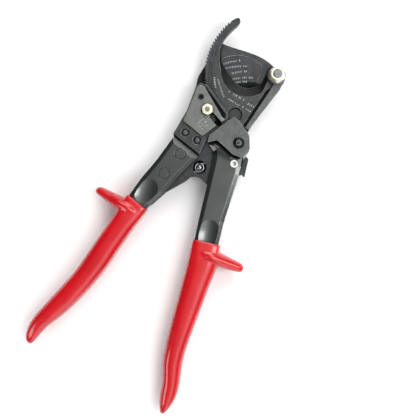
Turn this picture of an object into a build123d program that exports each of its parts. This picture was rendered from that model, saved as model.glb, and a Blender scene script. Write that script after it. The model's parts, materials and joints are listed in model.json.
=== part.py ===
from build123d import *
import math
import os

# A ratcheting cable cutter, lying on its back.
# X and Y lie in the plane of the blades, with the blade pivot at the origin and the head towards +Y.
# Z = 0 is the surface that the back of the tool rests on. All sizes are in millimetres.

# ---------------------------------------------------------------- driving dimensions
TOOTH_PITCH = 2.75         # degrees between ratchet teeth
TOOTH_COUNT = 36
TOOTH_START = 159.6        # angle of the first tooth's steep face
TIP_RADIUS = 49.0          # tips of the ratchet teeth
ROOT_RADIUS = 47.4
RIM_INNER_RADIUS = 43.2
HORN_TIP_ANGLE = 150.6     # the free end of the toothed horn
EDGE_CENTRE = (-7.5, -29.4)
EDGE_RADIUS = 14.5         # concave cutting edge of the moving blade
BEVEL_RADIUS = 20.0        # where the edge's wide bevel begins on the blade's front face
JAW_RIVET = (-12.8, -36.3)

# Layers, back to front
BACK_CHEEK_Z = (1.8, 4.3)
BACK_PLATE_Z = (4.5, 7.5)
BLADE_WEB_Z = (7.8, 10.9)
BLADE_RIM_Z = (7.8, 15.0)
PAWL_Z = (8.0, 14.8)
SPACER_Z = (7.5, 12.7)
TAIL_PLATE_Z = (12.7, 15.2)
JAW_Z = (11.0, 15.2)
FRONT_PLATE_Z = (15.2, 17.7)
COVER_Z = (17.7, 19.2)
FRONT_CHEEK_Z = (17.9, 20.4)
MID_Z = 11.1

# Pivots
FULCRUM = (1.9, -66.5)            # the moving handle turns here
DRIVE_PIVOT = (-1.7, -52.6)       # the drive pawl turns here, on the moving handle
HOLD_RADIUS = 53.3                # the holding pawl turns at this radius and angle
HOLD_ANGLE = 223.6
RUNNING_FIT = 0.05

# Handles and grips
FIXED_HANDLE_Z = (2.7, 19.5)
MOVING_HANDLE_Z = (2.5, 19.7)
WALL = 1.8
HANDLE_BEVEL = (1.5, 2.6)         # height and width of the bevel along the handles' edges
FIXED_ANCHOR = (-33.2, -77.1)
FIXED_TILT = -12.0
MOVING_TILT = 14.0


# ---------------------------------------------------------------- helpers
def polar(radius, degrees):
    angle = math.radians(degrees)
    return (radius * math.cos(angle), radius * math.sin(angle))


def face_of(points, radii=0.0):
    if radii:
        return make_face(FilletPolyline(*points, radius=radii, close=True))
    return make_face(Polyline(*points, close=True))


def slab(face, span):
    low, high = span
    return extrude(Pos(0, 0, low) * face, amount=high - low, dir=(0, 0, 1))


def disc(centre, radius, span):
    low, high = span
    return Pos(centre[0], centre[1], (low + high) / 2) * Cylinder(radius, high - low)


def hexagon(centre, across_flats, span):
    side = RegularPolygon(across_flats / 2, 6, major_radius=False)
    return slab(Pos(centre[0], centre[1]) * side, span)


def edges_at(shape, z):
    return [e for e in shape.edges() if abs(e.bounding_box().min.Z - z) < 1e-3
            and abs(e.bounding_box().max.Z - z) < 1e-3]


def domed_head(centre, radius, height, z, upwards=True):
    """A rivet head: a cap cut from a sphere, standing on the plane z."""
    ball = (radius * radius + height * height) / (2 * height)
    step = height - ball if upwards else ball - height
    cap = Pos(centre[0], centre[1], z + step) * Sphere(ball)
    keep = (z, z + height) if upwards else (z - height, z)
    return cap & disc(centre, radius + 1, keep)


def bevelled_slab(face, span):
    """A slab whose front and back edges are bevelled all round. Its outline runs clockwise,
    so that the tapered layer grows downwards from the face."""
    low, high = span
    height, width = HANDLE_BEVEL
    taper = math.degrees(math.atan(width / height))
    bevel = extrude(face, amount=height, taper=taper)
    front = Pos(0, 0, high - height) * mirror(bevel, about=Plane.XY)
    back = Pos(0, 0, low + height) * bevel
    return slab(face, (low + height, high - height)) + front + back


def ring_groove(centre, radius, width, floor_z):
    ring = Circle(radius + width) - Circle(radius)
    return slab(Pos(*centre) * ring, (floor_z, floor_z + 10))


def fixed_frame(shape):
    return Pos(FIXED_ANCHOR[0], FIXED_ANCHOR[1]) * Rot(0, 0, FIXED_TILT) * shape


def moving_frame(shape):
    return Pos(FULCRUM[0], FULCRUM[1]) * Rot(0, 0, MOVING_TILT) * shape


HOLD_PIVOT = polar(HOLD_RADIUS, HOLD_ANGLE)
RELEASE_KNOB = polar(52.3, 234.0)
HOUSING_RIVETS = [(-36.9, -62.7), (-27.5, -63.6)]
HANDLE_RIVETS = [(-33.2, -77.1), (-36.9, -94.0)]
SPRING_POST = (-17.7, -79.0)


# ---------------------------------------------------------------- moving blade
def toothed_rim():
    points = [polar(RIM_INNER_RADIUS + 0.9, HORN_TIP_ANGLE + 0.4),
              polar(RIM_INNER_RADIUS + 2.6, HORN_TIP_ANGLE - 0.5),
              polar(TIP_RADIUS - 1.9, HORN_TIP_ANGLE), polar(TIP_RADIUS - 1.2, HORN_TIP_ANGLE + 2.5),
              polar(TIP_RADIUS - 0.9, HORN_TIP_ANGLE + 6.0)]
    for tooth in range(TOOTH_COUNT):
        angle = TOOTH_START + tooth * TOOTH_PITCH
        points.append(polar(ROOT_RADIUS, angle))
        points.append(polar(TIP_RADIUS, angle))
    end_angle = TOOTH_START + TOOTH_COUNT * TOOTH_PITCH
    outer = Polyline(*points, polar(ROOT_RADIUS, end_angle), polar(RIM_INNER_RADIUS, end_angle))
    middle = polar(RIM_INNER_RADIUS, (end_angle + HORN_TIP_ANGLE) / 2)
    inner = ThreePointArc(polar(RIM_INNER_RADIUS, end_angle), middle,
                          polar(RIM_INNER_RADIUS, HORN_TIP_ANGLE + 4))
    closing = Line(polar(RIM_INNER_RADIUS, HORN_TIP_ANGLE + 4), points[0])
    return make_face(outer + inner + closing)


def rim_grooves():
    """The shallow concentric grooves in the front of the rim."""
    rings = (Circle(44.8) - Circle(44.3)) + (Circle(46.3) - Circle(45.9))
    wedge = make_face(Polyline((0, 0), polar(80, 153), polar(80, 205), polar(80, 256), close=True))
    return slab(rings & wedge, (BLADE_RIM_Z[1] - 0.5, BLADE_RIM_Z[1] + 1))


def blade_web():
    back_edge = Spline((-RIM_INNER_RADIUS - 0.6, 3.2), (-30.7, 5.0), (-18.0, 6.9), (-5.0, 5.4))
    rest = Polyline((-5.0, 5.4), (6, 0), (3, -8), (-2.0, -17.0), polar(RIM_INNER_RADIUS + 1, 246),
                    polar(RIM_INNER_RADIUS + 1, 236), polar(RIM_INNER_RADIUS + 1, 226),
                    polar(RIM_INNER_RADIUS + 1, 214), polar(RIM_INNER_RADIUS + 1, 200),
                    polar(RIM_INNER_RADIUS + 1, 188), (-RIM_INNER_RADIUS - 0.6, 3.2))
    return make_face(back_edge + rest) & Circle(RIM_INNER_RADIUS + 0.8)


def legend_recess():
    """The slightly sunk panel of the blade web, seen through the eye."""
    top = ThreePointArc((-38.4, -6.4), (-26.0, 2.6), (-12.4, 2.0))
    side = Polyline((-12.4, 2.0), (-10.2, -2.4), (-10.8, -9.5), (-24.0, -17.0), (-35.5, -13.0), (-38.4, -6.4))
    return slab(make_face(top + side), (BLADE_WEB_Z[1] - 0.35, BLADE_WEB_Z[1] + 1))


def moving_blade():
    blade = slab(toothed_rim(), BLADE_RIM_Z) + slab(blade_web(), BLADE_WEB_Z)
    blade += disc((0, 0), 6.4, BLADE_WEB_Z)
    thickness = BLADE_WEB_Z[1] - BLADE_WEB_Z[0]
    bevel = Cone(EDGE_RADIUS, BEVEL_RADIUS, thickness, align=(Align.CENTER, Align.CENTER, Align.MIN))
    bevel = Pos(EDGE_CENTRE[0], EDGE_CENTRE[1], BLADE_WEB_Z[0]) * bevel
    blade -= bevel & disc((0, 0), RIM_INNER_RADIUS - 0.4, (0, 20))
    blade -= disc((0, 0), 4.0 + RUNNING_FIT, (0, 20))
    return blade - rim_grooves() - legend_recess()


# ---------------------------------------------------------------- frame
def eye_section(hook_tip, hook, heel, corner, low, right, top_right, z):
    """One level of the eye: the hook's inner edge, a straight run, an arc, and the open mouth."""
    left = Polyline((-52.0, 30.0), (-52.0, hook_tip[1]), hook_tip, hook, heel, corner)
    arc = ThreePointArc(corner, low, right)
    rest = Polyline(right, top_right, (top_right[0], 30.0), (-52.0, 30.0))
    return Pos(0, 0, z) * make_face(left + arc + rest)


def jaw_opening():
    """The eye of the fixed jaw: one wide bevel that falls to the cutting edge at the back face."""
    edge = eye_section((-42.75, 3.2), (-41.3, -2.6), (-37.2, -8.6), (-24.6, -15.5), (-17.6, -16.9),
                       (-9.0, -11.9), (-6.8, -7.5), JAW_Z[0] - 0.02)
    face = eye_section((-42.9, 1.4), (-42.0, -2.9), (-38.8, -9.2), (-35.2, -14.2), (-19.0, -23.9),
                       (-3.6, -14.8), (-3.6, -7.0), JAW_Z[1] + 0.02)
    return loft([edge, face], ruled=True)


def jaw_outline():
    inside = Circle(RIM_INNER_RADIUS - 0.2)
    corners = [(0, 4.0), (-60.0, 2.6), (-60.0, -60.0), (-6.8, -60.0), (-4.9, -41.5), (-1.7, -12.5), (1.0, -6.0)]
    return inside & face_of(corners)


def jaw_notch():
    return Pos(*JAW_RIVET) * Circle(5.0)


def fixed_jaw():
    boss = disc((0, 0), 6.2, JAW_Z)
    jaw = slab(jaw_outline(), JAW_Z) - jaw_opening()
    jaw = jaw - slab(jaw_notch(), (JAW_Z[0] + 1.0, 30))
    return jaw + boss - disc(JAW_RIVET, 2.2, (0, 30)) - disc((0, 0), 4.0, (0, 30))


def front_plate_outline():
    points = [(-44.9, -31.4), (-43.5, -28.4), (-38.5, -27.5), (-17.0, -38.1), (-15.8, -42.2), (-4.0, -41.9),
              (0.2, -42.8), (0.4, -47.4), (-6.0, -48.4), (-13.0, -49.6), (-21.6, -56.6), (-22.3, -61.5),
              (-21.8, -72.9), (-28.4, -93.0), (-33.0, -100.0), (-41.4, -99.0), (-42.6, -89.5),
              (-40.1, -71.5), (-43.8, -67.2), (-42.8, -48.8)]
    radii = [2.0, 1.6, 0.8, 0.8, 1.0, 0.6,
             0.6, 2.0, 3.0, 2.0, 2.0, 2.0,
             0.8, 3.0, 3.0, 3.0, 4.0,
             2.0, 2.0, 6.0]
    return face_of(points, radii)


def tail_edge():
    """The tail of the side plates, from the fixed handle across to the fulcrum."""
    points = [(-24.0, -60.0), (-17.0, -63.4), (-6.0, -64.6), (1.6, -62.6), (5.6, -66.0), (3.0, -70.8),
              (-4.6, -86.0), (-7.4, -87.2), (-14.3, -85.0), (-17.5, -85.7), (-20.1, -87.5), (-22.1, -92.1),
              (-27.5, -100.2), (-31.0, -105.6), (-38.0, -103.6), (-41.4, -99.0), (-42.6, -89.5),
              (-40.1, -71.5), (-41.4, -60.0)]
    radii = [2.0, 4.0, 3.0, 3.0, 2.6, 3.0,
             1.5, 1.5, 2.0, 1.5, 2.0, 3.0,
             4.0, 1.0, 3.0, 3.0, 4.0,
             2.0, 1.0]
    return face_of(points, radii)


def back_plate_outline():
    points = [(-46.8, -15.2), (-40.6, -14.4), (-30.5, -24.8), (-18.0, -27.4), (-6.6, -22.6), (-6.2, 0.0),
              (0.0, 6.2), (6.0, -0.6), (2.2, -23.4), (0.2, -44.0), (0.6, -47.4), (-6.0, -48.4),
              (-9.0, -60.0), (-14.0, -66.0), (-36.0, -70.0), (-40.6, -70.6), (-43.8, -67.2), (-42.8, -48.8),
              (-45.2, -33.0), (-47.4, -24.0)]
    radii = [1.0, 1.0, 6.0, 9.0, 4.0, 4.0,
             5.0, 4.0, 12.0, 4.0, 2.0, 2.6,
             3.0, 3.0, 0.5, 0.5, 2.0, 6.0,
             4.0, 4.0]
    return face_of(points, radii) + tail_edge()


def strip_groove():
    """The deep groove between the housing and the fixed handle."""
    corners = [(-46.0, -66.3), (-20.0, -71.5), (-20.0, -73.6), (-46.0, -68.4)]
    return slab(face_of(corners), (FRONT_PLATE_Z[1] - 1.5, FRONT_PLATE_Z[1] + 1))


def wedge_groove():
    """The dark wedge between the front plate's ground edge and the pawl cover."""
    corners = [(-38.7, -28.9), (-17.9, -39.3), (-17.4, -42.4), (-19.4, -42.4), (-39.0, -29.6)]
    return slab(face_of(corners), (FRONT_PLATE_Z[1] - 1.8, FRONT_PLATE_Z[1] + 1))


def knob_slot(width):
    """An arc slot that lets the release knob swing with the holding pawl."""
    reach = math.dist(HOLD_PIVOT, RELEASE_KNOB)
    bearing = math.degrees(math.atan2(RELEASE_KNOB[1] - HOLD_PIVOT[1], RELEASE_KNOB[0] - HOLD_PIVOT[0]))
    arc = CenterArc(HOLD_PIVOT, reach, bearing - 13.0, 20.0)
    return SlotArc(arc, width)


def frame_holes(holes, radius):
    return [disc(centre, radius, (0, 30)) for centre in holes]


def front_plate():
    plate = slab(front_plate_outline(), FRONT_PLATE_Z) - strip_groove() - wedge_groove()
    plate = plate - frame_holes(HOUSING_RIVETS, 2.2) - frame_holes(HANDLE_RIVETS, 3.4)
    plate = plate - [ring_groove(centre, 2.2, 0.8, FRONT_PLATE_Z[1] - 0.7) for centre in HOUSING_RIVETS]
    plate = plate - disc(HOLD_PIVOT, 2.2, (0, 30)) - slab(knob_slot(4.2), (0, 30))
    return plate - slab(tail_window(), (0, 30))


def tail_window():
    """The open slot at the cover's lower right corner, where the holding pawl's end shows."""
    return Pos(-22.8, -45.8) * Rot(0, 0, -22) * SlotOverall(11.0, 4.2)


def jaw_frame():
    """The fixed jaw and the front side plate are one forging."""
    bridge = disc((0, 0), RIM_INNER_RADIUS - 0.2, (14.0, 15.2)) & slab(front_plate_outline(), (14.0, 15.2))
    forging = fixed_jaw() + front_plate() + (bridge - slab(jaw_notch(), (0, 30)))
    return forging


def back_plate():
    plate = slab(back_plate_outline(), BACK_PLATE_Z)
    plate = plate - frame_holes(HOUSING_RIVETS, 2.2) - frame_holes(HANDLE_RIVETS, 3.4)
    plate = plate - disc(HOLD_PIVOT, 2.2, (0, 30)) - disc(SPRING_POST, 1.8, (0, 30))
    return plate - disc(FULCRUM, 2.7, (0, 30)) - disc((0, 0), 4.0, (0, 30))


def pawl_cover():
    points = [(-44.0, -31.6), (-42.9, -29.5), (-39.2, -29.5), (-19.2, -42.2), (-16.8, -42.2), (-24.8, -58.4),
              (-26.2, -59.8), (-41.9, -56.4), (-42.4, -48.6)]
    cover = slab(face_of(points, [1.2, 1.2, 1.2, 0.8, 0.7, 0.9, 0.8, 0.9, 5.0]), COVER_Z)
    cover = chamfer(edges_at(cover, COVER_Z[1]), 0.45)
    cover = cover - disc(HOLD_PIVOT, 2.2, (0, 30)) - slab(knob_slot(4.6), (0, 30))
    return cover - slab(tail_window(), (0, 30))


def spine_bar():
    """The slim bar from the pivot nut down to the side plate, across a slit from the jaw."""
    points = [(0.9, -6.0), (6.4, -3.6), (6.2, -8.4), (0.2, -41.6), (-2.4, -41.2), (0.7, -11.7)]
    bar = slab(face_of(points), FRONT_PLATE_Z) + disc((0, 0), 5.9, (JAW_Z[1], JAW_Z[1] + 3.4))
    bar = bar - disc((0, 0), 4.0, (0, 30)) - slab(front_plate_outline(), (0, 30))
    return bar


def frame_spacer():
    """The block that holds the two side plates apart below the ratchet."""
    points = [(-42.0, -56.0), (-24.0, -57.0), (-23.4, -72.0), (-29.4, -93.0), (-34.0, -99.0), (-41.6, -98.0),
              (-43.0, -89.0), (-40.2, -71.0)]
    block = slab(face_of(points, 2.0), SPACER_Z)
    return block - frame_holes(HOUSING_RIVETS, 2.2) - frame_holes(HANDLE_RIVETS, 3.4)


def tail_plate():
    """The inner plate on the fulcrum pin, with a round window over the return spring."""
    plate = slab(tail_edge(), TAIL_PLATE_Z)
    plate = plate - frame_holes(HOUSING_RIVETS, 2.2) - frame_holes(HANDLE_RIVETS, 3.4)
    return plate - disc(SPRING_POST, 4.7, (0, 30)) - disc(FULCRUM, 2.7, (0, 30))


def jaw_rivet():
    """The broad rivet sunk in the jaw's notch."""
    shank = disc(JAW_RIVET, 2.2, (JAW_Z[0], JAW_Z[0] + 1.0))
    return shank + disc(JAW_RIVET, 4.4, (JAW_Z[0] + 1.0, JAW_Z[0] + 2.6))


def pivot_bolt():
    bolt = hexagon((0, 0), 12.0, (0, 3.9)) + disc((0, 0), 4.0, (3.9, 18.6))
    bolt += disc((0, 0), 3.0, (18.6, 25.6))
    return chamfer(edges_at(bolt, 25.6), 0.6)


def pivot_washers():
    back = disc((0, 0), 6.8, (3.9, 4.5)) - disc((0, 0), 4.0, (0, 30))
    front = disc((0, 0), 5.7, (18.6, 19.2)) - disc((0, 0), 3.0, (0, 30))
    return [back, front]


def pivot_nut():
    nut = hexagon((0, 0), 10.0, (19.2, 23.4)) & (Pos(0, 0, 16.9) * Cone(11.0, 4.4, 11.0))
    nut += disc((0, 0), 4.3, (22.4, 24.9))
    return nut - disc((0, 0), 3.0, (0, 30))


def housing_rivets():
    rivets = []
    for centre in HOUSING_RIVETS:
        shank = disc(centre, 2.2, (BACK_PLATE_Z[0] - 0.4, FRONT_PLATE_Z[1]))
        rivets.append(shank + domed_head(centre, 2.2, 0.9, FRONT_PLATE_Z[1]))
    return rivets


def handle_rivets():
    return [disc(centre, 3.4, FIXED_HANDLE_Z) for centre in HANDLE_RIVETS]


def hold_pivot_pin():
    pin = disc(HOLD_PIVOT, 2.2, (BACK_PLATE_Z[0] - 0.4, COVER_Z[1] + 0.2))
    return pin - disc(HOLD_PIVOT, 1.6, (COVER_Z[1] - 2.4, 30))


def fulcrum_pin():
    """A tubular pin: it turns in the moving handle and is held by the side plates."""
    pin = disc(FULCRUM, 2.7, (1.9, 20.1))
    return pin - disc(FULCRUM, 1.3, (17.0, 30)) - disc(FULCRUM, 1.3, (0, 5.0))


def fulcrum_bush():
    return disc(FULCRUM, 3.7, SPACER_Z) - disc(FULCRUM, 2.7, (0, 30))


def spring_post():
    return disc(SPRING_POST, 1.8, (BACK_PLATE_Z[0], 13.4)) + domed_head(SPRING_POST, 1.8, 0.7, 13.4)


def handle_spring():
    """A torsion spring on its post: touching turns, with one leg to each handle."""
    wire = 0.7
    coil_radius = 2.75
    turns = 3
    start = BACK_PLATE_Z[1] + 1.2
    spring = None
    for turn in range(turns):
        ring = Pos(SPRING_POST[0], SPRING_POST[1], start + turn * 1.9 * wire) * Torus(coil_radius, wire)
        spring = ring if spring is None else spring + ring
    last = start + (turns - 1) * 1.9 * wire
    spring += wire_leg(SPRING_POST, 29.0, 13.5, last, coil_radius, wire)
    spring += wire_leg(SPRING_POST, 29.0 + 180, 6.0, start, -coil_radius, wire)
    return spring


def wire_leg(post, bearing, length, z, offset, wire):
    leg = Pos(0, offset, 0) * Rot(0, 90, 0) * Cylinder(wire, length, align=(Align.CENTER, Align.CENTER, Align.MIN))
    return Pos(post[0], post[1], z) * Rot(0, 0, bearing) * leg


# ---------------------------------------------------------------- pawls
def holding_pawl():
    """Its nose points along the rim, and it stops the blade from springing back open."""
    back = [polar(55.9, 226.0), polar(55.6, 233.0), polar(54.6, 239.0), polar(52.4, 243.5)]
    front = [polar(50.6, 243.5), polar(50.3, 240.6), polar(49.25, 240.5), polar(50.7, 238.4), polar(50.8, 231.0),
             polar(50.6, 227.0)]
    pawl = slab(face_of(back + front), PAWL_Z) + disc(HOLD_PIVOT, 3.7, PAWL_Z)
    pawl -= disc(HOLD_PIVOT, 2.2 + RUNNING_FIT, (0, 30))
    return pawl - disc(RELEASE_KNOB, 1.5, (10.0, 30))


def release_screw():
    return disc(RELEASE_KNOB, 1.5, (10.0, 22.4))


def release_nut():
    nut = hexagon(RELEASE_KNOB, 7.0, (19.5, 21.9)) - disc(RELEASE_KNOB, 1.5, (0, 30))
    return nut & (Pos(RELEASE_KNOB[0], RELEASE_KNOB[1], 18.0) * Cone(7.0, 3.4, 8.0))


def holding_spring():
    """A hairpin leaf behind the holding pawl, seated on the spacer."""
    leaf = face_of([(-40.6, -56.0), (-39.4, -56.0), (-37.2, -47.0), (-38.0, -46.6)])
    return slab(leaf, (9.0, 13.8))


def pawl_lug():
    """The tongue on the drive pawl's tail that carries the release lever."""
    points = [(-3.2, -55.2), (1.6, -54.6), (6.6, -60.4), (8.4, -63.6), (6.6, -66.0), (3.4, -60.2)]
    return slab(face_of(points, 0.8), (9.6, 12.6))


def drive_pawl():
    """A hook that pulls the rim round when the handles are squeezed."""
    outer = [polar(57.4, 262.0), polar(56.0, 256.0), polar(54.4, 251.5), polar(52.0, 248.8)]
    inner = [polar(50.2, 248.8), polar(49.65, 251.0), polar(50.9, 251.3), polar(50.9, 257.0), polar(50.6, 261.0)]
    hook = slab(face_of(outer + inner), PAWL_Z) + disc(DRIVE_PIVOT, 2.05 + 2.3, PAWL_Z)
    web = face_of([polar(57.4, 262.0), polar(50.6, 261.0), (-1.0, -50.6), (-1.0, -56.6)])
    hook = hook + slab(web, PAWL_Z) + pawl_lug()
    return hook - disc(DRIVE_PIVOT, 2.5 + RUNNING_FIT, (0, 30))


def release_lever():
    """The thumb tab on the drive pawl's tail, forked at its end."""
    points = [(6.3, -57.4), (9.4, -59.0), (12.7, -71.8), (10.4, -69.9), (8.3, -71.9), (7.3, -66.6)]
    tab = slab(face_of(points, [0.8, 0.8, 0.5, 0.8, 0.5, 2.0]), (8.6, 13.6))
    return tab - pawl_lug()


def drive_pin():
    """The domed rivet through both cheeks, which carries the drive pawl."""
    pin = disc(DRIVE_PIVOT, 2.5, (BACK_CHEEK_Z[0] - 0.6, FRONT_CHEEK_Z[1]))
    pin += domed_head(DRIVE_PIVOT, 3.9, 1.9, FRONT_CHEEK_Z[1])
    return pin + domed_head(DRIVE_PIVOT, 3.9, 1.4, BACK_CHEEK_Z[0], upwards=False)


# ---------------------------------------------------------------- moving handle
def cheek_outline():
    points = [(-21.6, -57.0), (-12.6, -38.6), (-8.4, -39.4), (2.2, -44.6), (7.6, -54.0), (4.6, -60.6),
              (-1.6, -61.2), (-15.4, -57.4), (-20.6, -62.0)]
    return face_of(points, [1.2, 1.8, 2.0, 6.0, 5.0, 2.0, 1.2, 1.6, 0.6])


def cheek(span):
    return slab(cheek_outline(), span) - disc(DRIVE_PIVOT, 2.5, (0, 30))


def moving_handle_outline():
    points = [(-19.4, 8.8), (-16.4, 11.0), (-11.8, 10.6), (-7.1, 7.9), (-2.5, 5.3), (0.8, 5.6),
              (4.5, 5.8), (5.0, -6.7), (4.3, -16.5), (3.4, -30.0), (2.6, -40.0), (2.6, -56.0),
              (-1.8, -105.0), (-5.5, -135.0), (-12.5, -135.0), (-14.4, -105.0), (-13.8, -56.0), (-14.2, -42.5),
              (-14.2, 0.0), (-15.4, 5.0)]
    return face_of(points)


def handle_dish(x, y):
    """A shallow pressed hollow in the face of a handle."""
    ball = 42.0
    depth = 1.0
    return Pos(x, y, FIXED_HANDLE_Z[1] + ball - depth) * scale(Sphere(ball), by=(0.75, 1.0, 1.0))


def moving_handle():
    low, high = MOVING_HANDLE_Z
    channel = bevelled_slab(moving_handle_outline(), MOVING_HANDLE_Z)
    hollow = [(-12.4, -40.0), (-30.0, -40.0), (-30.0, 20.0), (20.0, 20.0), (20.0, -7.0), (2.6, -8.0),
              (1.6, -30.0), (0.8, -56.0), (-3.6, -105.0), (-6.6, -133.0), (-11.0, -133.0), (-12.6, -105.0)]
    channel -= slab(face_of(hollow), (low + WALL, high - WALL))
    mouth_corners = [(-11.0, -40.0), (-30.0, -40.0), (-30.0, -133.0), (-9.0, -133.0)]
    channel -= slab(face_of(mouth_corners), (MID_Z - 4.0, MID_Z + 4.0))
    channel = moving_frame(channel - handle_dish(-5.6, -50.0))
    return channel - slab(cheek_outline(), (0, 30)) - disc(FULCRUM, 2.7 + RUNNING_FIT, (0, 30))


def fixed_handle_outline():
    points = [(-10.8, 5.5), (10.5, 5.4), (8.8, -10.0), (8.2, -28.0), (6.2, -40.0), (5.8, -60.0),
              (8.9, -90.0), (9.0, -110.0), (6.4, -128.0), (-3.8, -128.0), (-3.6, -110.0), (-5.0, -90.0),
              (-7.4, -60.0), (-8.9, -43.5), (-9.9, -30.0), (-9.7, -14.0)]
    return face_of(points)


def fixed_handle():
    low, high = FIXED_HANDLE_Z
    channel = bevelled_slab(fixed_handle_outline(), FIXED_HANDLE_Z)
    hollow = [(-9.0, 20.0), (30.0, 20.0), (30.0, -34.0), (4.4, -40.0), (4.0, -60.0), (7.1, -90.0),
              (7.2, -110.0), (5.0, -126.0), (-2.4, -126.0), (-1.8, -110.0), (-3.2, -90.0),
              (-5.6, -60.0), (-7.1, -43.5), (-8.1, -30.0), (-7.9, -14.0)]
    channel -= slab(face_of(hollow), (low + WALL, high - WALL))
    channel = fixed_frame(channel - handle_dish(-1.6, -34.0)) - frame_holes(HANDLE_RIVETS, 3.4)
    return channel - [ring_groove(centre, 3.4, 0.5, high - 0.5) for centre in HANDLE_RIVETS]


# ---------------------------------------------------------------- grips
# Each station is (distance down the handle, left side, right side, thickness).
MOVING_GRIP = [(55.5, -14.9, 3.8, 20.6), (62, -15.2, 5.0, 22.2), (70, -15.3, 5.2, 22.2), (85, -15.6, 3.4, 22.2),
               (100, -16.0, 1.5, 22.2), (115, -16.5, -0.4, 21.8), (130, -16.6, -2.0, 20.6),
               (140, -16.0, -2.1, 18.8), (148, -14.3, -1.4, 17.4), (155, -12.9, -0.8, 16.0),
               (162, -12.5, -1.0, 14.0), (168, -11.7, -2.4, 11.8), (173, -10.4, -4.6, 8.4),
               (176.6, -8.8, -6.8, 4.0)]
FIXED_GRIP = [(43.5, -10.3, 6.8, 20.6), (60, -8.8, 7.4, 22.2), (75, -7.8, 8.8, 22.2), (90, -6.4, 10.3, 22.2),
              (105, -5.2, 10.6, 21.8), (120, -5.6, 9.8, 20.6), (130, -6.2, 8.6, 18.8), (140, -6.7, 6.6, 17.4),
              (148, -6.9, 4.6, 15.4), (155, -6.0, 4.1, 12.8), (161, -3.8, 3.9, 9.2), (165, -0.6, 3.2, 4.0)]


def grip_body(stations):
    sections = []
    for down, left, right, thick in stations:
        width = right - left
        plane = Plane(origin=((left + right) / 2, -down, MID_Z), x_dir=(1, 0, 0), z_dir=(0, -1, 0))
        sections.append(plane * RectangleRounded(width, thick, 0.44 * min(width, thick)))
    return loft(sections, ruled=True)


def guard_horn(base_x, base_y, tip_x, tip_y):
    """The finger guard that stands out from the side of a grip."""
    sections = []
    for share, high, thick in [(0.0, 10.5, 17.0), (0.45, 8.2, 11.0), (0.9, 5.8, 7.0), (1.0, 3.4, 4.0)]:
        x = base_x + share * (tip_x - base_x)
        y = base_y + share * (tip_y - base_y)
        plane = Plane(origin=(x, y, MID_Z), x_dir=(0, 1, 0), z_dir=(1 if tip_x > base_x else -1, 0, 0))
        sections.append(plane * RectangleRounded(high, thick, 0.44 * min(high, thick)))
    return loft(sections, ruled=True)


def moving_grip():
    grip = grip_body(MOVING_GRIP) + guard_horn(-1.0, -65.0, 23.0, -67.4)
    return moving_frame(grip - slab(moving_handle_outline(), MOVING_HANDLE_Z))


def fixed_grip():
    grip = grip_body(FIXED_GRIP) + guard_horn(-5.0, -51.0, -29.4, -54.4)
    return fixed_frame(grip - slab(fixed_handle_outline(), FIXED_HANDLE_Z))


# ---------------------------------------------------------------- output
NODES = {
    "moving_blade": moving_blade,
    "fixed_jaw_frame": jaw_frame,
    "back_plate": back_plate,
    "pawl_cover": pawl_cover,
    "spine_bar": spine_bar,
    "frame_spacer": frame_spacer,
    "tail_plate": tail_plate,
    "jaw_rivet": jaw_rivet,
    "pivot_bolt": pivot_bolt,
    "pivot_washers": pivot_washers,
    "pivot_nut": pivot_nut,
    "housing_rivets": housing_rivets,
    "handle_rivets": handle_rivets,
    "holding_pawl_pin": hold_pivot_pin,
    "fulcrum_pin": fulcrum_pin,
    "fulcrum_bush": fulcrum_bush,
    "spring_post": spring_post,
    "handle_spring": handle_spring,
    "holding_spring": holding_spring,
    "fixed_handle": fixed_handle,
    "fixed_grip": fixed_grip,
    "holding_pawl": holding_pawl,
    "release_screw": release_screw,
    "release_nut": release_nut,
    "drive_pawl": drive_pawl,
    "release_lever": release_lever,
    "drive_pawl_pin": drive_pin,
    "front_cheek": lambda: cheek(FRONT_CHEEK_Z),
    "back_cheek": lambda: cheek(BACK_CHEEK_Z),
    "moving_handle": moving_handle,
    "moving_grip": moving_grip,
}


def write_parts():
    os.makedirs("parts", exist_ok=True)
    for name, build in NODES.items():
        shape = build()
        if isinstance(shape, list):
            shape = Compound(children=shape)
        export_step(shape, f"parts/{name}.step")


write_parts()
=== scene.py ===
import json
import math

import bmesh
import bpy
from mathutils import Matrix, Vector


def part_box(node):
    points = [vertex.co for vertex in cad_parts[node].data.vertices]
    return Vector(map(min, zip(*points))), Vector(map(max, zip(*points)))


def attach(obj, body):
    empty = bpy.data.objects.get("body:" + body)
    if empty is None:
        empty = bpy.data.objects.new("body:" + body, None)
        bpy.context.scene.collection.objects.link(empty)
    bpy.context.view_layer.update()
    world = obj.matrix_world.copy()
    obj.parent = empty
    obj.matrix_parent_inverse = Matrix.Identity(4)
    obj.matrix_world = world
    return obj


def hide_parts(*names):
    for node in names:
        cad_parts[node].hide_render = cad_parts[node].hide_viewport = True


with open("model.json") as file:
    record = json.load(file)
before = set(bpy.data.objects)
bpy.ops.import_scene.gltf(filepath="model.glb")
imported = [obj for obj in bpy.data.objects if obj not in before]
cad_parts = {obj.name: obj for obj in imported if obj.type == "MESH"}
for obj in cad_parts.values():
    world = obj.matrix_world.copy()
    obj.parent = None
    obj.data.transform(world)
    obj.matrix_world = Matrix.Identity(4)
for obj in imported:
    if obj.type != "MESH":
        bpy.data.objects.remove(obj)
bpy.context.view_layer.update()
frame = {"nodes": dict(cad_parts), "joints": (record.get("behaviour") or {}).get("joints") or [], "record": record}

# Lengths are in metres. Rows of measured points and sizes are in millimetres, and MM converts them.
MM = 0.001
UP = Vector((0.0, 0.0, 1.0))
TURN = 2 * math.pi

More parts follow.
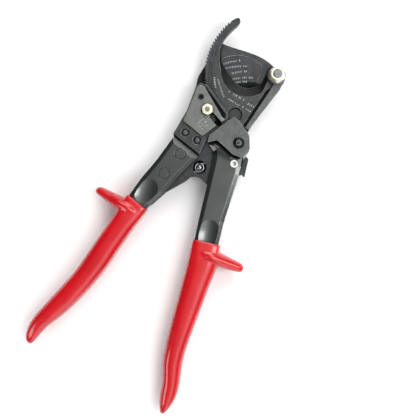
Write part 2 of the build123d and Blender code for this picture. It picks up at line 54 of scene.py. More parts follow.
# Where each handle stands at rest, the moving one about its joint and the fixed one about its
# upper rivet, and how far each leans from the length of the tool.
JOINTS = {joint["name"]: Vector(joint["pos_m"]) for joint in frame["joints"]}
FULCRUM = JOINTS["handle_squeeze"]
MOVING_ANCHOR = Vector((FULCRUM.x, FULCRUM.y, 0.0))
MOVING_TILT = math.radians(14.0)
FIXED_ANCHOR = Vector((-33.2, -77.1, 0.0)) * MM
FIXED_TILT = math.radians(-12.0)


# ---------------------------------------------------------------- node helpers
# Sockets of a Mix node that mixes colours
MIX_FACTOR, MIX_FIRST, MIX_SECOND, MIX_RESULT = 0, 6, 7, 2
BEVEL_SAMPLES = 6
OCCLUSION_SAMPLES = 8
EDGE_CONTRAST = 8.0
NEAR_BLACK = (0.004, 0.004, 0.004)


def new_material(name):
    material = bpy.data.materials.new(name)
    material.use_nodes = True
    tree = material.node_tree
    tree.nodes.clear()
    output = tree.nodes.new("ShaderNodeOutputMaterial")
    shader = tree.nodes.new("ShaderNodeBsdfPrincipled")
    tree.links.new(shader.outputs["BSDF"], output.inputs["Surface"])
    return material, tree, shader


def plug(tree, source, socket):
    """Feed a socket from another node, or give it a number or a colour."""
    if isinstance(source, bpy.types.NodeSocket):
        tree.links.new(source, socket)
    elif isinstance(source, tuple):
        socket.default_value = (*source, 1.0)
    else:
        socket.default_value = source


def texture_space(tree):
    """The place of a point in the frame, which stays with a piece when a joint moves it."""
    return tree.nodes.new("ShaderNodeTexCoord").outputs["Object"]


def component(tree, vector, axis):
    split = tree.nodes.new("ShaderNodeSeparateXYZ")
    tree.links.new(vector, split.inputs["Vector"])
    return split.outputs[axis]


def noise(tree, scale, detail=4.0, roughness=0.55):
    node = tree.nodes.new("ShaderNodeTexNoise")
    node.inputs["Scale"].default_value = scale
    node.inputs["Detail"].default_value = detail
    node.inputs["Roughness"].default_value = roughness
    tree.links.new(texture_space(tree), node.inputs["Vector"])
    return node.outputs["Fac"]


def grey(value):
    return (value, value, value)


def ramp(tree, value, stops):
    """A colour for each value, through stops of a position and a colour."""
    node = tree.nodes.new("ShaderNodeValToRGB")
    while len(node.color_ramp.elements) < len(stops):
        node.color_ramp.elements.new(0.5)
    for element, (position, colour) in zip(node.color_ramp.elements, stops):
        element.position = position
        element.color = (*colour, 1.0)
    tree.links.new(value, node.inputs["Fac"])
    return node.outputs["Color"]


def mix_colour(tree, factor, first, second, blend="MIX"):
    node = tree.nodes.new("ShaderNodeMix")
    node.data_type = "RGBA"
    node.blend_type = blend
    plug(tree, factor, node.inputs[MIX_FACTOR])
    plug(tree, first, node.inputs[MIX_FIRST])
    plug(tree, second, node.inputs[MIX_SECOND])
    return node.outputs[MIX_RESULT]


def math_node(tree, operation, first, second=0.0, clamp=False):
    node = tree.nodes.new("ShaderNodeMath")
    node.operation = operation
    node.use_clamp = clamp
    plug(tree, first, node.inputs[0])
    plug(tree, second, node.inputs[1])
    return node.outputs[0]


def map_range(tree, value, low, high, to_low=0.0, to_high=1.0):
    node = tree.nodes.new("ShaderNodeMapRange")
    for name, number in (("From Min", low), ("From Max", high), ("To Min", to_low), ("To Max", to_high)):
        node.inputs[name].default_value = number
    tree.links.new(value, node.inputs["Value"])
    return node.outputs["Result"]


def soft_edges(tree, radius):
    """The surface's direction, rounded off along its edges."""
    node = tree.nodes.new("ShaderNodeBevel")
    node.samples = BEVEL_SAMPLES
    node.inputs["Radius"].default_value = radius
    return node.outputs["Normal"]


def edge_wear(tree, radius):
    """1 along sharp edges, 0 on flats: how far the rounded direction leans from the true one."""
    geometry = tree.nodes.new("ShaderNodeNewGeometry")
    dot = tree.nodes.new("ShaderNodeVectorMath")
    dot.operation = "DOT_PRODUCT"
    tree.links.new(geometry.outputs["Normal"], dot.inputs[0])
    tree.links.new(soft_edges(tree, radius), dot.inputs[1])
    lean = math_node(tree, "SUBTRACT", 1.0, dot.outputs["Value"])
    return math_node(tree, "MULTIPLY", lean, EDGE_CONTRAST, clamp=True)


def shaded(tree, colour, amount, distance=2.5 * MM):
    """Painted shade: the colour goes darker towards inside corners, where less light reaches."""
    open_air = tree.nodes.new("ShaderNodeAmbientOcclusion")
    open_air.samples = OCCLUSION_SAMPLES
    open_air.inputs["Distance"].default_value = distance
    corner_shade = ramp(tree, open_air.outputs["AO"], [(0.35, grey(1.0 - amount)), (0.95, grey(1.0))])
    return mix_colour(tree, 1.0, colour, corner_shade, "MULTIPLY")


def height_of(tree):
    return component(tree, texture_space(tree), "Z")


def along_tool(tree):
    """How far a point lies towards the blade's end; the pivot bolt is at 0."""
    return component(tree, texture_space(tree), "Y")


def level_of_face(tree):
    """1 where a face lies flat, up or down, and 0 where it stands on edge."""
    geometry = tree.nodes.new("ShaderNodeNewGeometry")
    return math_node(tree, "ABSOLUTE", component(tree, geometry.outputs["True Normal"], "Z"))


def darkened(tree, colour, factor):
    """The colour where the factor is 1, and near black where it is 0."""
    return mix_colour(tree, factor, NEAR_BLACK, colour)


def bump(tree, height, strength, distance, normal=None):
    node = tree.nodes.new("ShaderNodeBump")
    node.inputs["Strength"].default_value = strength
    node.inputs["Distance"].default_value = distance
    tree.links.new(height, node.inputs["Height"])
    if normal is not None:
        tree.links.new(normal, node.inputs["Normal"])
    return node.outputs["Normal"]


def dress(tree, shader, colour, roughness, normal):
    for name, source in (("Base Color", colour), ("Roughness", roughness), ("Normal", normal)):
        tree.links.new(source, shader.inputs[name])


# ---------------------------------------------------------------- materials
# Scales of the noise that makes each mark; a larger scale makes a finer mark.
STEEL_MOTTLE, STEEL_SCUFF = 260.0, 900.0
ENAMEL_CLOUD, ENAMEL_SMEAR, ENAMEL_SCUFF, ENAMEL_PEEL = 60.0, 200.0, 700.0, 1400.0
PLATE_TINT, PLATE_GRAIN = 500.0, 2600.0
VINYL_CLOUD, VINYL_WAVE, VINYL_SMEAR, VINYL_PIMPLE = 45.0, 90.0, 150.0, 1500.0
FLOOR_CLOUD = 8.0

# how dark the steels' painted shade in inside corners gets
STEEL_CORNER_SHADE = 0.75
SLOPING, FLAT = 0.88, 0.97          # levels of a face between which the painted shade on bevels fades out
DEEP_SHADE = 0.25                   # how dark the painted shade on the faces under the others is
CHEEK_SHADOW_SPAN, CHEEK_SHADOW_DEPTH = (-68.0 * MM, -65.0 * MM), 0.2    # painted shadow on the moving handle's end, under its cheek: where it fades in along the tool, and how dark it gets
CAP_SHADE = 0.25                    # the release screw's end, dull in its bright nut


def steel(name, dark, light, worn, metallic, roughness, grain, relief, wear, edge=0.3 * MM,
          groove_shadow=None, bevel=None, deep=None):
    """A finished steel: mottled colour, grain in bump and roughness, painted shade in inside corners, paler worn
    edges.

    wear is how strongly the edges pale. groove_shadow is two heights with a painted shadow, near black, between
    them. bevel is the painted shade of faces that don't lie flat. deep is two heights: below both the colour is
    painted dark, as shade on the faces under the others.
    """
    material, tree, shader = new_material(name)
    fine = noise(tree, grain, 3.0, 0.7)
    base = ramp(tree, noise(tree, STEEL_MOTTLE, 5.0, 0.6), [(0.3, dark), (0.7, light)])
    speck = ramp(tree, fine, [(0.4, grey(0.0)), (0.75, grey(1.0))])
    spark = tuple(2.0 * channel for channel in light)
    base = mix_colour(tree, math_node(tree, "MULTIPLY", speck, 0.5), base, spark)
    base = shaded(tree, base, STEEL_CORNER_SHADE)
    if bevel:
        # painted shade: faces that stand on edge go darker
        base = darkened(tree, base, map_range(tree, level_of_face(tree), SLOPING, FLAT, bevel, 1.0))
    if deep:
        # painted shade: faces low down, under the others, go darker
        base = darkened(tree, base, map_range(tree, height_of(tree), *deep, DEEP_SHADE, 1.0))
    scuff = ramp(tree, noise(tree, STEEL_SCUFF, 6.0, 0.7), [(0.36, grey(0.0)), (0.58, grey(1.0))])
    rub = math_node(tree, "MULTIPLY", edge_wear(tree, edge), scuff)
    base = mix_colour(tree, math_node(tree, "MULTIPLY", rub, wear), base, worn)
    # painted shadow: near black in the groove between the two heights
    if groove_shadow:
        bottom, top = groove_shadow
        above = map_range(tree, height_of(tree), top, top + 0.3 * MM)
        below = map_range(tree, height_of(tree), bottom, bottom - 0.2 * MM)
        base = darkened(tree, base, math_node(tree, "MAXIMUM", above, below, clamp=True))
    shader.inputs["Metallic"].default_value = metallic
    dress(tree, shader, base, map_range(tree, fine, 0.3, 0.7, *roughness),
          bump(tree, fine, 0.6, relief, soft_edges(tree, edge)))
    return material


def enamel(name):
    """Glossy black finish on pressed sheet: faint orange peel, painted shade in inside corners, paler worn edges.
    """
    material, tree, shader = new_material(name)
    base = ramp(tree, noise(tree, ENAMEL_CLOUD, 3.0),
                [(0.3, (0.082, 0.086, 0.085)), (0.75, (0.104, 0.109, 0.107))])
    # painted shade in inside corners
    base = shaded(tree, base, 0.6)
    # painted shadow: the enamel goes dark towards the pivot, under the cheek
    base = darkened(tree, base, map_range(tree, along_tool(tree), *CHEEK_SHADOW_SPAN, 1.0, CHEEK_SHADOW_DEPTH))
    scuff = ramp(tree, noise(tree, ENAMEL_SCUFF, 6.0, 0.7), [(0.5, grey(0.0)), (0.66, grey(1.0))])
    rub = math_node(tree, "MULTIPLY", edge_wear(tree, 0.25 * MM), scuff)
    base = mix_colour(tree, math_node(tree, "MULTIPLY", rub, 0.06), base, grey(0.4))
    shader.inputs["Metallic"].default_value = 0.85
    shader.inputs["Coat Weight"].default_value = 0.6
    shader.inputs["Coat Roughness"].default_value = 0.12
    dress(tree, shader, base, map_range(tree, noise(tree, ENAMEL_SMEAR, 3.0), 0.3, 0.7, 0.21, 0.25),
          bump(tree, noise(tree, ENAMEL_PEEL, 2.0), 0.02, 0.08 * MM, soft_edges(tree, 0.5 * MM)))
    return material


def plated(name, tint, shade, roughness, metallic=1.0, cap=None):
    """Bright or yellow zinc plate: slight colour play, fine turning marks, painted shade in corners.

    cap is two heights between which the plate goes dull.
    """
    material, tree, shader = new_material(name)
    base = ramp(tree, noise(tree, PLATE_TINT, 4.0), [(0.3, shade), (0.7, tint)])
    # painted shade in inside corners
    base = shaded(tree, base, 0.6, 1.2 * MM)
    if cap:
        base = darkened(tree, base, map_range(tree, height_of(tree), *cap, 1.0, CAP_SHADE))
    fine = noise(tree, PLATE_GRAIN, 3.0, 0.6)
    shader.inputs["Metallic"].default_value = metallic
    dress(tree, shader, base, map_range(tree, fine, 0.3, 0.7, roughness, roughness + 0.14),
          bump(tree, fine, 0.25, 0.04 * MM, soft_edges(tree, 0.3 * MM)))
    return material


def vinyl(name):
    """Glossy dipped red vinyl: soft waves, tiny pimples and a slightly uneven red."""
    material, tree, shader = new_material(name)
    base = ramp(tree, noise(tree, VINYL_CLOUD, 3.0),
                [(0.25, (0.44, 0.003, 0.008)), (0.8, (0.56, 0.006, 0.012))])
    # painted shade: the red goes darker towards inside corners
    base = shaded(tree, base, 0.5, 4.0 * MM)
    shader.inputs["Specular IOR Level"].default_value = 0.35
    shader.inputs["Coat Weight"].default_value = 0.6
    shader.inputs["Coat Roughness"].default_value = 0.05
    pimples = math_node(tree, "MULTIPLY", noise(tree, VINYL_PIMPLE, 2.0), 0.06)
    height = math_node(tree, "ADD", noise(tree, VINYL_WAVE, 2.0), pimples)
    dress(tree, shader, base, map_range(tree, noise(tree, VINYL_SMEAR, 4.0), 0.3, 0.7, 0.22, 0.32),
          bump(tree, height, 0.2, 0.8 * MM))
    return material


def floor_material():
    material, tree, shader = new_material("pale_floor")
    base = ramp(tree, noise(tree, FLOOR_CLOUD, 2.0), [(0.3, grey(0.88)), (0.7, grey(0.91))])
    tree.links.new(base, shader.inputs["Base Color"])
    shader.inputs["Roughness"].default_value = 0.9
    return material


MATERIALS = {
    "blade_steel": steel(
        "blade_steel", dark=(0.024, 0.026, 0.028), light=(0.055, 0.058, 0.06), worn=grey(0.5),
        metallic=0.85, roughness=(0.34, 0.5), grain=2400.0, relief=0.08 * MM, wear=0.5, bevel=0.3),
    "jaw_steel": steel(
        "jaw_steel", dark=(0.028, 0.0295, 0.0295), light=(0.062, 0.064, 0.0635), worn=(0.8, 0.8, 0.78),
        metallic=0.85, roughness=(0.34, 0.54), grain=2200.0, relief=0.12 * MM, wear=0.9,
        groove_shadow=(15.4 * MM, 16.8 * MM), bevel=0.4),
    "black_steel": steel(
        "black_steel", dark=(0.02, 0.0215, 0.023), light=(0.046, 0.0485, 0.05), worn=grey(0.4),
        metallic=0.8, roughness=(0.34, 0.5), grain=2400.0, relief=0.08 * MM, wear=0.5,
        deep=(7.8 * MM, 12.5 * MM)),
    "cover_steel": steel(
        "cover_steel", dark=(0.11, 0.116, 0.11), light=(0.17, 0.178, 0.168), worn=(0.9, 0.9, 0.86),
        metallic=0.9, roughness=(0.3, 0.42), grain=3000.0, relief=0.04 * MM, wear=0.9),
    "sandblasted_steel": steel(
        "sandblasted_steel", dark=(0.058, 0.061, 0.061), light=(0.11, 0.115, 0.114), worn=grey(0.9),
        metallic=0.85, roughness=(0.36, 0.56), grain=1900.0, relief=0.18 * MM, wear=1.0,
        edge=0.4 * MM),
    "bright_steel": plated("bright_steel", (0.85, 0.85, 0.82), (0.7, 0.7, 0.67), 0.3, 0.85,
                           cap=(21.6 * MM, 22.0 * MM)),
    "zinc_steel": plated("zinc_steel", (0.3, 0.31, 0.33), (0.16, 0.17, 0.19), 0.22),
    "yellow_zinc": plated("yellow_zinc", (0.95, 0.93, 0.8), (0.72, 0.68, 0.5), 0.24, 0.75),
    "spring_steel": plated("spring_steel", (0.62, 0.62, 0.63), (0.4, 0.4, 0.41), 0.28),
    "black_enamel": enamel("black_enamel"),
    "red_vinyl": vinyl("red_vinyl"),
}


def dress_cad_nodes():
    slots = {part["node"]: part["material_slot"] for part in frame["record"]["subparts"]}
    for node, thing in frame["nodes"].items():
        thing.data.materials.clear()
        thing.data.materials.append(MATERIALS[slots[node]])


# ---------------------------------------------------------------- mesh helpers
def add_piece(name, data, slot, body):
    """Put a mesh in the scene on a moving body, with its finish."""
    piece = bpy.data.objects.new(name, data)
    bpy.context.scene.collection.objects.link(piece)
    data.materials.clear()
    data.materials.append(MATERIALS[slot])
    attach(piece, body)
    return piece


def mesh_piece(name, builder, slot, body):
    data = bpy.data.meshes.new(name)
    shell = bmesh.new()
    builder(shell)
    bmesh.ops.recalc_face_normals(shell, faces=shell.faces)
    shell.to_mesh(data)
    shell.free()
    return add_piece(name, data, slot, body)


def smooth_faces(data):
    for polygon in data.polygons:
        polygon.use_smooth = True


def flat_direction(angle):
    return Vector((math.cos(angle), math.sin(angle), 0.0))


def smooth_path(knots, value):
    """Catmull-Rom interpolation of rows of numbers at a fractional row index."""
    index = min(int(value), len(knots) - 2)
    t = value - index
    rows = [knots[max(0, min(len(knots) - 1, index + step))] for step in (-1, 0, 1, 2)]
    blended = []
    for a, b, c, d in zip(*rows):
        blended.append(0.5 * (2 * b + (c - a) * t + (2 * a - 5 * b + 4 * c - d) * t * t
                              + (3 * b - a - 3 * c + d) * t ** 3))
    return blended


def superellipse(angle, half_width, half_height, power):
    """A point on an oval, which nears a rectangle as the power rises above 2."""
    c, s = math.cos(angle), math.sin(angle)
    x = half_width * math.copysign(abs(c) ** (2.0 / power), c)
    y = half_height * math.copysign(abs(s) ** (2.0 / power), s)
    return x, y


def add_rings(shell, rings):
    """Skin a row of closed rings of points, and close both ends."""
    rows = [[shell.verts.new(point) for point in ring] for ring in rings]
    for lower, upper in zip(rows, rows[1:]):
        count = len(lower)
        for i in range(count):
            after = (i + 1) % count
            shell.faces.new((lower[i], lower[after], upper[after], upper[i]))
    shell.faces.new(rows[0])
    shell.faces.new(list(reversed(rows[-1])))


def apply_modifiers(piece):
    bpy.context.view_layer.update()
    evaluated = piece.evaluated_get(bpy.context.evaluated_depsgraph_get())
    data = bpy.data.meshes.new_from_object(evaluated)
    old = piece.data
    piece.modifiers.clear()
    piece.data = data
    bpy.data.meshes.remove(old)
    smooth_faces(data)


# ---------------------------------------------------------------- grips
# Stations: distance down the handle, left side, right side, thickness in millimetres; squareness.
MOVING_GRIP = [
    (55.4, -14.7, 3.7, 20.2, 5.0), (56.2, -15.1, 4.1, 21.0, 5.0), (60, -15.2, 4.3, 21.4, 5.0),
    (64, -15.2, 4.6, 21.8, 4.2), (70, -15.3, 5.4, 22.2, 3.4), (77, -15.4, 4.6, 22.2, 3.2),
    (85, -15.6, 3.3, 22.2, 3.2), (100, -16.0, 1.5, 22.2, 3.2), (115, -16.5, -0.4, 21.8, 3.0),
    (130, -16.6, -2.0, 20.6, 2.8), (140, -16.1, -2.1, 18.8, 2.6), (148, -14.4, -1.4, 17.4, 2.6),
    (155, -12.9, -0.8, 16.0, 2.5), (162, -12.5, -1.0, 14.0, 2.4), (168, -11.7, -2.4, 11.8, 2.3),
    (173, -10.4, -4.6, 8.4, 2.2), (175.6, -9.4, -6.2, 5.0, 2.1), (176.5, -8.6, -7.0, 2.4, 2.0)]
FIXED_GRIP = [
    (43.4, -10.2, 6.6, 20.2, 5.0), (44.2, -10.5, 7.0, 21.0, 5.0), (49, -10.4, 7.1, 21.4, 5.0),
    (53, -10.0, 7.3, 21.8, 4.2), (60, -8.9, 7.6, 22.2, 3.4), (75, -7.8, 8.8, 22.2, 3.2),
    (90, -6.4, 10.3, 22.2, 3.2), (105, -5.2, 10.6, 21.8, 3.0), (120, -5.6, 9.8, 20.6, 2.8),
    (130, -6.2, 8.6, 18.8, 2.6), (140, -6.7, 6.6, 17.4, 2.6), (148, -6.9, 4.6, 15.4, 2.5),
    (155, -6.0, 4.1, 12.8, 2.4), (161, -3.8, 3.9, 9.2, 2.3), (164, -1.6, 3.4, 5.4, 2.1),
    (165, -0.2, 2.6, 2.6, 2.0)]
# Guards: distance along the horn from the handle's axis, distance down, height, thickness.
MOVING_GUARD = [
    (-11.5, 62.6, 2.0, 14.0), (-8.0, 63.0, 6.0, 21.2), (-4.0, 63.7, 8.6, 23.2),
    (0.0, 64.4, 10.0, 24.0), (5.0, 65.3, 10.0, 22.0), (11.0, 66.2, 8.8, 17.0),
    (17.0, 67.0, 7.4, 12.6), (21.3, 67.5, 5.8, 8.8), (23.2, 67.7, 2.4, 3.6)]
FIXED_GUARD = [
    (5.0, 49.4, 2.0, 14.0), (2.0, 49.8, 6.0, 21.2), (-1.0, 50.3, 8.6, 23.2),
    (-5.0, 50.8, 10.0, 24.0), (-11.0, 51.8, 10.0, 21.4), (-17.0, 52.7, 8.6, 16.4),
    (-23.0, 53.5, 7.2, 12.2), (-27.6, 54.1, 5.6, 8.6), (-29.4, 54.3, 2.4, 3.6)]
GRIP_STEPS, GUARD_STEPS = 5, 4      # rings from one station to the next
GUARD_SQUARENESS = 2.3
GRIP_MIDDLE = 11.1                  # height of both grips' middle, in millimetres
LOWEST = 0.05                       # the guards are cut off here, just above the floor
RING_ANGLES = [TURN * i / 48 for i in range(48)]
VOXEL = 0.55 * MM
EASING_ROUNDS = 8


def grip_ring(down, left, right, thick, power):
    ring = []
    for angle in RING_ANGLES:
        x, z = superellipse(angle, (right - left) / 2, thick / 2, power)
        ring.append(Vector(((left + right) / 2 + x, -down, GRIP_MIDDLE + z)) * MM)
    return ring


def guard_ring(across, down, high, thick):
    ring = []
    for angle in RING_ANGLES:
        y, z = superellipse(angle, high / 2, thick / 2, GUARD_SQUARENESS)
        ring.append(Vector((across, y - down, max(GRIP_MIDDLE + z, LOWEST))) * MM)
    return ring


def rings_along(stations, steps_between, make_ring):
    count = (len(stations) - 1) * steps_between
    return [make_ring(*smooth_path(stations, step / steps_between)) for step in range(count + 1)]


def make_grip(name, stations, guard, anchor, tilt, body, node):
    """Grip and finger guard are skinned apart, fused by a voxel remesh, then eased together."""
    place = Matrix.Translation(anchor) @ Matrix.Rotation(tilt, 4, "Z")

    def build(shell):
        add_rings(shell, rings_along(stations, GRIP_STEPS, grip_ring))
        add_rings(shell, rings_along(guard, GUARD_STEPS, guard_ring))
        bmesh.ops.transform(shell, matrix=place, verts=shell.verts)

    piece = mesh_piece(name, build, "red_vinyl", body)
    remesh = piece.modifiers.new("fuse", "REMESH")
    remesh.mode = "VOXEL"
    remesh.voxel_size = VOXEL
    ease = piece.modifiers.new("ease", "SMOOTH")
    ease.factor = 0.5
    ease.iterations = EASING_ROUNDS
    apply_modifiers(piece)
    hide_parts(node)


# ---------------------------------------------------------------- metal details
SPRING_WIRE = 0.68 * MM             # radius of the wire
COIL_RADIUS, COIL_PITCH = 2.75 * MM, 1.42 * MM
COIL_TURNS, COIL_POINTS = 2.5, 90
COIL_LIFT = 0.7 * MM                # of the wire's middle over the bottom of the CAD spring
LEG_BEARING = math.radians(29.0)
FIXED_LEG, MOVING_LEG = (6.0, 4.0, 2.0), (3.0, 8.0, 13.0)      # points on the straight legs

EYELET_RADIUS, EYELET_LIP = 2.05 * MM, 0.6 * MM

PUNCH_LIP = 0.26 * MM
PUNCH_DROP = 0.24 * MM              # of the punched ring under the top of the rivet's dome
HOUSING_RIVETS = [(-36.9, -62.7), (-27.5, -63.6)]

PANEL_LIP = 0.22 * MM
PANEL_HEIGHT = 10.72
PANEL_ARC = [(-38.4, -6.4), (-26.0, 2.6), (-12.4, 2.0)]
PANEL_SIDE = [(-11.0, -0.8), (-10.2, -2.6), (-10.3, -6.0), (-10.6, -8.6)]


def tube(name, points, radius, slot, body, closed=False):
    """A round bar along a line of points."""
    curve = bpy.data.curves.new(name, "CURVE")
    curve.dimensions = "3D"
    curve.bevel_depth = radius
    curve.bevel_resolution = 3
    curve.use_fill_caps = True
    spline = curve.splines.new("POLY")
    spline.points.add(len(points) - 1)
    for knot, point in zip(spline.points, points):
        knot.co = (*point, 1.0)
    spline.use_cyclic_u = closed
    holder = bpy.data.objects.new(name + "_path", curve)
    bpy.context.scene.collection.objects.link(holder)
    bpy.context.view_layer.update()
    evaluated = holder.evaluated_get(bpy.context.evaluated_depsgraph_get())
    data = bpy.data.meshes.new_from_object(evaluated)
    bpy.data.objects.remove(holder)
    bpy.data.curves.remove(curve)
    data.name = name
    smooth_faces(data)
    return add_piece(name, data, slot, body)


def middle(node):
    low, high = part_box(node)
    return (Vector(low) + Vector(high)) / 2


def circle_points(centre, radius, count=40):
    return [centre + radius * flat_direction(TURN * i / count) for i in range(count)]


def make_return_spring():
    """The torsion spring: close turns on the post and a straight leg to each handle."""
    post = middle("spring_post")
    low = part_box("handle_spring")[0][2] + COIL_LIFT
    first = Vector((math.sin(LEG_BEARING), -math.cos(LEG_BEARING), 0.0))
    start = Vector((post.x, post.y, low)) + COIL_RADIUS * first
    points = [start - reach * MM * flat_direction(LEG_BEARING) for reach in FIXED_LEG]
    for step in range(COIL_POINTS + 1):
        turn = COIL_TURNS * step / COIL_POINTS
        angle = LEG_BEARING - math.pi / 2 + TURN * turn
        points.append(Vector((post.x + COIL_RADIUS * math.cos(angle),
                              post.y + COIL_RADIUS * math.sin(angle), low + COIL_PITCH * turn)))
    end = points[-1]
    points += [end - reach * MM * flat_direction(LEG_BEARING + math.pi) for reach in MOVING_LEG]
    piece = tube("return_spring", points, SPRING_WIRE, "spring_steel", "frame")
    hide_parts("handle_spring")


def make_eyelet():
    """The rolled rim of the tubular fulcrum pin, front and back."""
    pin = middle("fulcrum_pin")
    low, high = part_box("fulcrum_pin")
    for name, height in (("eyelet_rim_front", high[2]), ("eyelet_rim_back", low[2])):
        rim = circle_points(Vector((pin.x, pin.y, height)), EYELET_RADIUS)
        tube(name, rim, EYELET_LIP, "bright_steel", "frame", closed=True)


def make_punched_ring(name, centre, top, radius, body):
    """The punch mark in a black rivet's head: a small turned-over ring."""
    ring = circle_points(Vector((centre.x, centre.y, top - PUNCH_DROP)), radius, 24)
    tube(name, ring, PUNCH_LIP, "zinc_steel", body, closed=True)


def make_rivet_dimples():
    pin_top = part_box("drive_pawl_pin")[1][2]
    make_punched_ring("drive_pin_dimple", middle("drive_pawl_pin"), pin_top, 1.5 * MM, "moving_handle")
    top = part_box("housing_rivets")[1][2]
    for number, (x, y) in enumerate(HOUSING_RIVETS, 1):
        centre = Vector((x, y, 0.0)) * MM
        make_punched_ring("housing_dimple_%d" % number, centre, top, 0.95 * MM, "frame")


def arc_through(first, between, last, count, height):
    """Points on the arc through three points, which runs clockwise, at one height."""
    (ax, ay), (bx, by), (cx, cy) = first, between, last
    a, b, c = (x * x + y * y for x, y in (first, between, last))
    d = 2 * (ax * (by - cy) + bx * (cy - ay) + cx * (ay - by))
    centre_x = (a * (by - cy) + b * (cy - ay) + c * (ay - by)) / d
    centre_y = (a * (cx - bx) + b * (ax - cx) + c * (bx - ax)) / d
    radius = math.hypot(ax - centre_x, ay - centre_y)
    start = math.atan2(ay - centre_y, ax - centre_x)
    sweep = math.atan2(cy - centre_y, cx - centre_x) - start
    if sweep > 0:
        sweep -= TURN
    points = []
    for i in range(count + 1):
        angle = start + sweep * i / count
        points.append(Vector((centre_x + radius * math.cos(angle),
                              centre_y + radius * math.sin(angle), height)) * MM)
    return points


def make_panel_border():
    """The fine raised lip round the blade's sunk panel."""
    points = arc_through(*PANEL_ARC, 24, PANEL_HEIGHT)
    points += [Vector((x, y, PANEL_HEIGHT)) * MM for x, y in PANEL_SIDE]
    tube("panel_border", points, PANEL_LIP, "sandblasted_steel", "blade")


# ---------------------------------------------------------------- stamped marks
# Rows of marks: the row's two ends and how far it bows out between them, in millimetres.
BLADE_ROWS = [((-35.9, -9.0), (-26.7, -1.2), 0.5),
              ((-33.3, -10.8), (-20.6, -2.6), 0.6),
              ((-29.6, -13.5), (-19.2, -5.7), 0.5),
              ((-25.5, -15.1), (-13.4, -7.6), 0.5),
              ((-22.3, -15.9), (-15.9, -12.0), 0.2)]
JAW_ROWS = [((-37.5, -19.2), (-32.6, -26.4), -0.3),
            ((-34.4, -19.9), (-24.8, -29.3), -0.3),
            ((-24.0, -24.3), (-10.6, -24.8), 0.0),
            ((-22.0, -28.9), (-13.1, -29.8), 0.0),
            ((-11.1, -29.2), (-3.9, -29.7), 0.0),
            ((-8.8, -25.7), (-3.6, -25.8), 0.0)]
COVER_ROWS = [((-32.4, -53.8), (-30.0, -48.4), 0.0),
              ((-30.2, -55.2), (-27.5, -49.1), 0.0),
              ((-27.9, -56.1), (-25.5, -50.9), 0.0)]
BLADE_FACE, JAW_FACE, COVER_FACE = 10.55, 15.2, 19.2       # heights that the marks stand on
TICK_PITCH = 1.05
TICK_HEIGHT = 0.07 * MM
TICK_TAPER = 0.75
GAP_SHARE = 0.16
MOST_SLANT = 0.35                   # radians, from leaning one way to leaning the other
SQUARE = ((-1, -1), (1, -1), (1, 1), (-1, 1))


def chance(index, salt):
    """A repeatable number between 0 and 1."""
    value = math.sin(index * 12.9898 + salt * 78.233) * 43758.5453
    return value - math.floor(value)


def add_tick(shell, centre, along, width, length):
    """One stamped tick: a low block with sloping sides."""
    side = along.cross(UP)
    foot, head = [], []
    for ring, scale, lift in ((foot, 1.0, 0.0), (head, TICK_TAPER, TICK_HEIGHT)):
        for a, b in SQUARE:
            offset = along * (a * width * scale / 2) + side * (b * length * scale / 2)
            ring.append(shell.verts.new(centre + offset + UP * lift))
    for i in range(4):
        after = (i + 1) % 4
        shell.faces.new((foot[i], foot[after], head[after], head[i]))
    shell.faces.new(head)
    shell.faces.new(list(reversed(foot)))


def stamped_rows(name, rows, height, body, salt, tall=1.0):
    """Rows of plain stamped ticks, unevenly spaced and sized; no lettering."""
    def build(shell):
        index = 0
        for (x0, y0), (x1, y1), bow in rows:
            start, end = Vector((x0, y0, height)), Vector((x1, y1, height))
            run = end - start
            across = Vector((-run.y, run.x, 0.0)).normalized()
            count = max(2, int(run.length / TICK_PITCH))
            for i in range(count):
                index += 1
                if chance(index, salt) < GAP_SHARE:
                    continue
                t = (i + 0.5) / count
                centre = start + run * t + across * (bow * 4 * t * (1 - t))
                slant = MOST_SLANT * (chance(index, salt + 3.0) - 0.5)
                along = Matrix.Rotation(slant, 3, "Z") @ run.normalized()
                width = 0.26 + 0.2 * chance(index, salt + 1.0)
                length = tall * (1.0 + 0.5 * chance(index, salt + 2.0))
                add_tick(shell, centre * MM, along, width * MM, length * MM)
    mesh_piece(name, build, "bright_steel", body)


# ---------------------------------------------------------------- stage
# The camera looks straight down on the tool as it lies, rolled so that the tool leans to the right.
VIEW_TARGET = Vector((2.0, -101.4, 17.0)) * MM
VIEW_DISTANCE = 0.56
VIEW_ROLL = math.radians(27.5)
PICTURE_WIDTH = 0.2835              # across the picture, at the target's height
SENSOR_WIDTH = 36.0                 # of the camera, in millimetres

FLOOR_REACH = 3.0
FLOOR_DROP = 0.2 * MM               # keeps the floor's face clear of the faces that lie on it
# Lamps: name, place, the point it faces, width and length, power in watts.
LAMPS = [("key", (-0.30, 0.62, 0.75), (0.0, -0.06, 0.0), (0.9, 0.6), 5.0),
         ("side", (0.52, 0.12, 0.72), (0.0, -0.12, 0.0), (0.25, 0.9), 5.0),
         ("low", (-0.35, -0.8, 0.55), (0.0, -0.12, 0.0), (0.5, 0.3), 2.5)]
# The room's brightness, from the tool's left at 0 to its right at 1.
ROOM = [(0.0, 0.10), (0.2, 0.03), (0.36, 0.12), (0.475, 0.5), (0.53, 0.95), (0.6, 1.9),
        (0.7, 2.0), (0.79, 0.6), (0.88, 0.12), (1.0, 0.3)]


def make_camera():
    data = bpy.data.cameras.new("camera")
    camera = bpy.data.objects.new("camera", data)
    bpy.context.scene.collection.objects.link(camera)
    camera.location = VIEW_TARGET + UP * VIEW_DISTANCE
    camera.rotation_euler = (0.0, 0.0, VIEW_ROLL)
    data.sensor_width = SENSOR_WIDTH
    data.lens = SENSOR_WIDTH * VIEW_DISTANCE / PICTURE_WIDTH
    bpy.context.scene.camera = camera
    bpy.context.scene.view_settings.view_transform = "Standard"


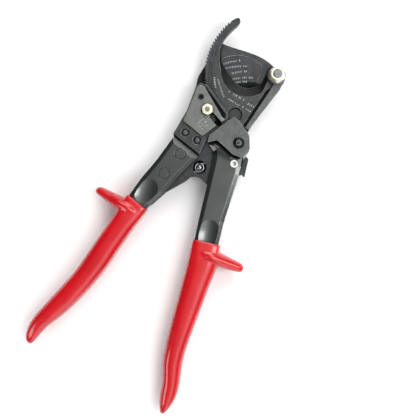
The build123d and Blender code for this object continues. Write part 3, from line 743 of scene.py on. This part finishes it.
def make_floor():
    data = bpy.data.meshes.new("floor")
    shell = bmesh.new()
    bmesh.ops.create_grid(shell, x_segments=1, y_segments=1, size=FLOOR_REACH)
    shell.to_mesh(data)
    shell.free()
    floor = bpy.data.objects.new("floor", data)
    floor.location.z = -FLOOR_DROP
    bpy.context.scene.collection.objects.link(floor)
    data.materials.append(floor_material())


def area_light(name, place, aim, size, power):
    light = bpy.data.lights.new(name, "AREA")
    light.shape = "RECTANGLE"
    light.size, light.size_y = size
    light.energy = power
    lamp = bpy.data.objects.new(name, light)
    bpy.context.scene.collection.objects.link(lamp)
    lamp.location = place
    lamp.rotation_euler = (Vector(aim) - Vector(place)).to_track_quat("-Z", "Y").to_euler()


def make_world():
    """A soft room, pale on one side of the tool and dark on the other."""
    world = bpy.data.worlds.new("studio")
    world.use_nodes = True
    tree = world.node_tree
    across = tree.nodes.new("ShaderNodeVectorMath")
    across.operation = "DOT_PRODUCT"
    tree.links.new(tree.nodes.new("ShaderNodeTexCoord").outputs["Generated"], across.inputs[0])
    across.inputs[1].default_value = flat_direction(VIEW_ROLL)
    place = map_range(tree, across.outputs["Value"], -1.0, 1.0)
    room = ramp(tree, place, [(position, grey(level)) for position, level in ROOM])
    tree.links.new(room, tree.nodes["Background"].inputs["Color"])
    tree.nodes["Background"].inputs["Strength"].default_value = 1.0
    bpy.context.scene.world = world


make_camera()
make_floor()
for lamp_row in LAMPS:
    area_light(*lamp_row)
make_world()

dress_cad_nodes()
make_grip("moving_grip_skin", MOVING_GRIP, MOVING_GUARD, MOVING_ANCHOR, MOVING_TILT,
          "moving_handle", "moving_grip")
make_grip("fixed_grip_skin", FIXED_GRIP, FIXED_GUARD, FIXED_ANCHOR, FIXED_TILT, "frame", "fixed_grip")
make_return_spring()
make_eyelet()
make_rivet_dimples()
make_panel_border()
stamped_rows("blade_marks", BLADE_ROWS, BLADE_FACE, "blade", 1.0)
stamped_rows("jaw_marks", JAW_ROWS, JAW_FACE, "frame", 2.0)
stamped_rows("cover_marks", COVER_ROWS, COVER_FACE, "frame", 3.0, 0.9)
